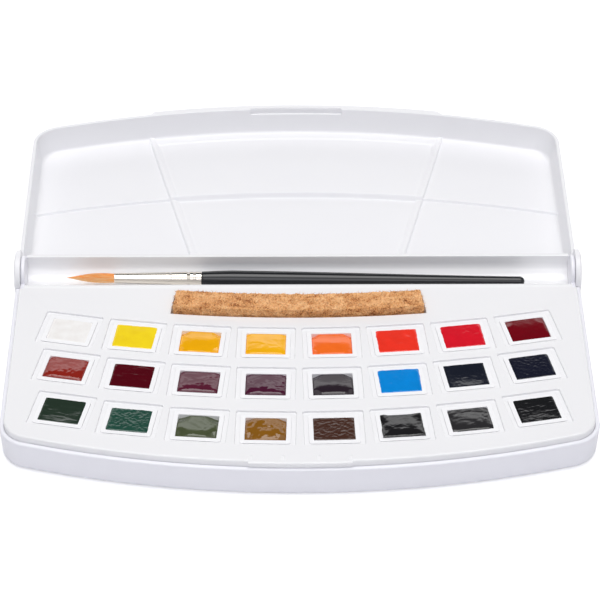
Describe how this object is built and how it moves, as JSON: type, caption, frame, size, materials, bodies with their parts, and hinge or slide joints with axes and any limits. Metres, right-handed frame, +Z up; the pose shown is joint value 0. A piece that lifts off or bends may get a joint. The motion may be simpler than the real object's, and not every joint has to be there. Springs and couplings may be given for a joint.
{
  "type": "watercolour paint box",
  "caption": "Flat bowed paint box, open: a lid with mixing wells hinged to a base with a tray of paint pans, a sponge strip and a brush in a trough.",
  "frame": {"origin": "on the table under the middle of the open box: half way between the base's front and the lid's thumb lip, and half way between the two ears", "axes": "+X along the hinge to the right, +Y from the base to the open lid, +Z up"},
  "size_m": [0.2332, 0.249, 0.0231],
  "materials": {
    "base_plastic": "satin white",
    "tray_plastic": "gloss white",
    "lid_plastic": "satin white",
    "pan_plastic": "gloss white",
    "sponge": "matt, open-pored",
    "handle_lacquer": "gloss black lacquer",
    "ferrule_metal": "polished",
    "tuft_hair": "fine hair with a sheen",
    "paint_01": "dried gum, uneven gloss",
    "paint_02": "dried gum, uneven gloss",
    "paint_03": "dried gum, uneven gloss",
    "paint_04": "dried gum, uneven gloss",
    "paint_05": "dried gum, uneven gloss",
    "paint_06": "dried gum, uneven gloss",
    "paint_07": "dried gum, uneven gloss",
    "paint_08": "dried gum, uneven gloss",
    "paint_09": "dried gum, uneven gloss",
    "paint_10": "dried gum, uneven gloss",
    "paint_11": "dried gum, uneven gloss",
    "paint_12": "dried gum, uneven gloss",
    "paint_13": "dried gum, uneven gloss",
    "paint_14": "dried gum, uneven gloss",
    "paint_15": "dried gum, uneven gloss",
    "paint_16": "dried gum, uneven gloss",
    "paint_17": "dried gum, uneven gloss",
    "paint_18": "dried gum, uneven gloss",
    "paint_19": "dried gum, uneven gloss",
    "paint_20": "dried gum, uneven gloss",
    "paint_21": "dried gum, uneven gloss",
    "paint_22": "dried gum, uneven gloss",
    "paint_23": "dried gum, uneven gloss",
    "paint_24": "dried gum, uneven gloss"
  },
  "bodies": {
    "base": {"base_shell": "base_plastic", "pan_tray": "tray_plastic"},
    "lid": {"lid": "lid_plastic"},
    "brush": {"brush_handle": "handle_lacquer", "brush_ferrule": "ferrule_metal", "brush_tuft": "tuft_hair"},
    "sponge": {"sponge": "sponge"},
    "pan_01": {"pan_01": "pan_plastic", "paint_01": "paint_01"},
    "pan_02": {"pan_02": "pan_plastic", "paint_02": "paint_02"},
    "pan_03": {"pan_03": "pan_plastic", "paint_03": "paint_03"},
    "pan_04": {"pan_04": "pan_plastic", "paint_04": "paint_04"},
    "pan_05": {"pan_05": "pan_plastic", "paint_05": "paint_05"},
    "pan_06": {"pan_06": "pan_plastic", "paint_06": "paint_06"},
    "pan_07": {"pan_07": "pan_plastic", "paint_07": "paint_07"},
    "pan_08": {"pan_08": "pan_plastic", "paint_08": "paint_08"},
    "pan_09": {"pan_09": "pan_plastic", "paint_09": "paint_09"},
    "pan_10": {"pan_10": "pan_plastic", "paint_10": "paint_10"},
    "pan_11": {"pan_11": "pan_plastic", "paint_11": "paint_11"},
    "pan_12": {"pan_12": "pan_plastic", "paint_12": "paint_12"},
    "pan_13": {"pan_13": "pan_plastic", "paint_13": "paint_13"},
    "pan_14": {"pan_14": "pan_plastic", "paint_14": "paint_14"},
    "pan_15": {"pan_15": "pan_plastic", "paint_15": "paint_15"},
    "pan_16": {"pan_16": "pan_plastic", "paint_16": "paint_16"},
    "pan_17": {"pan_17": "pan_plastic", "paint_17": "paint_17"},
    "pan_18": {"pan_18": "pan_plastic", "paint_18": "paint_18"},
    "pan_19": {"pan_19": "pan_plastic", "paint_19": "paint_19"},
    "pan_20": {"pan_20": "pan_plastic", "paint_20": "paint_20"},
    "pan_21": {"pan_21": "pan_plastic", "paint_21": "paint_21"},
    "pan_22": {"pan_22": "pan_plastic", "paint_22": "paint_22"},
    "pan_23": {"pan_23": "pan_plastic", "paint_23": "paint_23"},
    "pan_24": {"pan_24": "pan_plastic", "paint_24": "paint_24"}
  },
  "joints": [
    {"name": "lid_hinge", "type": "hinge", "parent": "base", "child": "lid", "pos_m": [0, -0.001, 0.0135], "axis": [-1, 0, 0], "range_deg": [-180, 0]},
    {"name": "brush_lift", "type": "slide", "parent": "base", "child": "brush", "axis": [0, 0, 1], "range_m": [0, 0.02]},
    {"name": "sponge_lift", "type": "slide", "parent": "base", "child": "sponge", "axis": [0, 0, 1], "range_m": [0, 0.015]},
    {"name": "pan_lift_01", "type": "slide", "parent": "base", "child": "pan_01", "axis": [0, 0, 1], "range_m": [0, 0.015]},
    {"name": "pan_lift_02", "type": "slide", "parent": "base", "child": "pan_02", "axis": [0, 0, 1], "range_m": [0, 0.015]},
    {"name": "pan_lift_03", "type": "slide", "parent": "base", "child": "pan_03", "axis": [0, 0, 1], "range_m": [0, 0.015]},
    {"name": "pan_lift_04", "type": "slide", "parent": "base", "child": "pan_04", "axis": [0, 0, 1], "range_m": [0, 0.015]},
    {"name": "pan_lift_05", "type": "slide", "parent": "base", "child": "pan_05", "axis": [0, 0, 1], "range_m": [0, 0.015]},
    {"name": "pan_lift_06", "type": "slide", "parent": "base", "child": "pan_06", "axis": [0, 0, 1], "range_m": [0, 0.015]},
    {"name": "pan_lift_07", "type": "slide", "parent": "base", "child": "pan_07", "axis": [0, 0, 1], "range_m": [0, 0.015]},
    {"name": "pan_lift_08", "type": "slide", "parent": "base", "child": "pan_08", "axis": [0, 0, 1], "range_m": [0, 0.015]},
    {"name": "pan_lift_09", "type": "slide", "parent": "base", "child": "pan_09", "axis": [0, 0, 1], "range_m": [0, 0.015]},
    {"name": "pan_lift_10", "type": "slide", "parent": "base", "child": "pan_10", "axis": [0, 0, 1], "range_m": [0, 0.015]},
    {"name": "pan_lift_11", "type": "slide", "parent": "base", "child": "pan_11", "axis": [0, 0, 1], "range_m": [0, 0.015]},
    {"name": "pan_lift_12", "type": "slide", "parent": "base", "child": "pan_12", "axis": [0, 0, 1], "range_m": [0, 0.015]},
    {"name": "pan_lift_13", "type": "slide", "parent": "base", "child": "pan_13", "axis": [0, 0, 1], "range_m": [0, 0.015]},
    {"name": "pan_lift_14", "type": "slide", "parent": "base", "child": "pan_14", "axis": [0, 0, 1], "range_m": [0, 0.015]},
    {"name": "pan_lift_15", "type": "slide", "parent": "base", "child": "pan_15", "axis": [0, 0, 1], "range_m": [0, 0.015]},
    {"name": "pan_lift_16", "type": "slide", "parent": "base", "child": "pan_16", "axis": [0, 0, 1], "range_m": [0, 0.015]},
    {"name": "pan_lift_17", "type": "slide", "parent": "base", "child": "pan_17", "axis": [0, 0, 1], "range_m": [0, 0.015]},
    {"name": "pan_lift_18", "type": "slide", "parent": "base", "child": "pan_18", "axis": [0, 0, 1], "range_m": [0, 0.015]},
    {"name": "pan_lift_19", "type": "slide", "parent": "base", "child": "pan_19", "axis": [0, 0, 1], "range_m": [0, 0.015]},
    {"name": "pan_lift_20", "type": "slide", "parent": "base", "child": "pan_20", "axis": [0, 0, 1], "range_m": [0, 0.015]},
    {"name": "pan_lift_21", "type": "slide", "parent": "base", "child": "pan_21", "axis": [0, 0, 1], "range_m": [0, 0.015]},
    {"name": "pan_lift_22", "type": "slide", "parent": "base", "child": "pan_22", "axis": [0, 0, 1], "range_m": [0, 0.015]},
    {"name": "pan_lift_23", "type": "slide", "parent": "base", "child": "pan_23", "axis": [0, 0, 1], "range_m": [0, 0.015]},
    {"name": "pan_lift_24", "type": "slide", "parent": "base", "child": "pan_24", "axis": [0, 0, 1], "range_m": [0, 0.015]}
  ]
}
